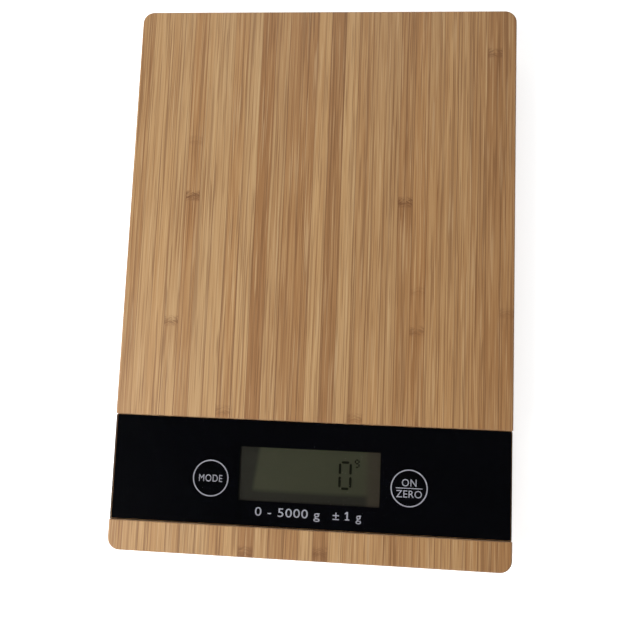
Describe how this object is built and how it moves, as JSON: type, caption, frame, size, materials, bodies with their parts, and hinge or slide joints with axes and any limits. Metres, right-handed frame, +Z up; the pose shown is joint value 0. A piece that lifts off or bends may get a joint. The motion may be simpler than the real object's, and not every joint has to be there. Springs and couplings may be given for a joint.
{
  "type": "kitchen scale",
  "caption": "Slim rectangular electronic kitchen scale: a bamboo platform with a flush black display band, on a low plastic base with a sprung foot at each corner.",
  "frame": {"origin": "middle of the outline, on the surface that the feet stand on", "axes": "+X to the user's right, +Y away from the user along the length, +Z up; the display band is at -Y"},
  "size_m": [0.165, 0.235, 0.017],
  "materials": {
    "bamboo": "satin, vertical laminated strips",
    "clear_panel": "polished",
    "black_print": "printed black, seen through the panel",
    "adhesive": "clear adhesive film",
    "lcd_glass": "polished",
    "reflector_film": "olive reflector film",
    "white_plastic": "moulded",
    "contact_rubber": "layered conductive rubber",
    "foam": "closed-cell foam",
    "circuit_board": "glass-fibre board with solder mask",
    "black_resin": "cured resin",
    "components": "ceramic chips",
    "bright_metal": "nickel plated",
    "spring_steel": "plated spring steel",
    "black_plastic": "fine moulded texture",
    "screw_steel": "zinc plated",
    "label": "satin silver film",
    "red_black_wire": "insulated",
    "rubber": "matt",
    "silicone": "cured white silicone",
    "sensor_wire": "insulated"
  },
  "bodies": {
    "housing": {"bamboo_platform": "bamboo", "display_panel": "clear_panel", "panel_mask": "black_print", "panel_tape": "adhesive", "lcd_cell": "lcd_glass", "lcd_reflector": "reflector_film", "lcd_frame": "white_plastic", "zebra_strip": "contact_rubber", "lcd_support_foam": "foam", "main_board": "circuit_board", "chip_resin": "black_resin", "board_components": "components", "clock_crystal": "bright_metal", "unit_key_spring": "spring_steel", "tare_key_spring": "spring_steel", "base_shell": "black_plastic", "base_screws": "screw_steel", "board_screws": "screw_steel", "carrier_screws": "screw_steel", "rating_label": "label", "coin_cell": "bright_metal", "battery_contact_negative": "spring_steel", "battery_contact_positive": "spring_steel", "battery_wires": "red_black_wire", "load_cell_front_left": "spring_steel", "strain_gauge_front_left": "silicone", "cell_carrier_front_left": "white_plastic", "sensor_wires_front_left": "sensor_wire", "load_cell_front_right": "spring_steel", "strain_gauge_front_right": "silicone", "cell_carrier_front_right": "white_plastic", "sensor_wires_front_right": "sensor_wire", "load_cell_rear_left": "spring_steel", "strain_gauge_rear_left": "silicone", "cell_carrier_rear_left": "white_plastic", "sensor_wires_rear_left": "sensor_wire", "load_cell_rear_right": "spring_steel", "strain_gauge_rear_right": "silicone", "cell_carrier_rear_right": "white_plastic", "sensor_wires_rear_right": "sensor_wire"},
    "battery_door_body": {"battery_door": "black_plastic"},
    "foot_front_left_body": {"foot_front_left": "black_plastic", "foot_pad_front_left": "rubber"},
    "foot_front_right_body": {"foot_front_right": "black_plastic", "foot_pad_front_right": "rubber"},
    "foot_rear_left_body": {"foot_rear_left": "black_plastic", "foot_pad_rear_left": "rubber"},
    "foot_rear_right_body": {"foot_rear_right": "black_plastic", "foot_pad_rear_right": "rubber"}
  },
  "joints": [
    {"name": "battery_door_hinge", "type": "hinge", "parent": "housing", "child": "battery_door_body", "pos_m": [0, -0.0123, 0.0034], "axis": [1, 0, 0], "range_deg": [0, 80]},
    {"name": "foot_front_left_press", "type": "slide", "parent": "housing", "child": "foot_front_left_body", "axis": [0, 0, 1], "range_m": [0, 0.0003], "deforming": ["load_cell_front_left"]},
    {"name": "foot_front_right_press", "type": "slide", "parent": "housing", "child": "foot_front_right_body", "axis": [0, 0, 1], "range_m": [0, 0.0003], "deforming": ["load_cell_front_right"]},
    {"name": "foot_rear_left_press", "type": "slide", "parent": "housing", "child": "foot_rear_left_body", "axis": [0, 0, 1], "range_m": [0, 0.0003], "deforming": ["load_cell_rear_left"]},
    {"name": "foot_rear_right_press", "type": "slide", "parent": "housing", "child": "foot_rear_right_body", "axis": [0, 0, 1], "range_m": [0, 0.0003], "deforming": ["load_cell_rear_right"]}
  ]
}
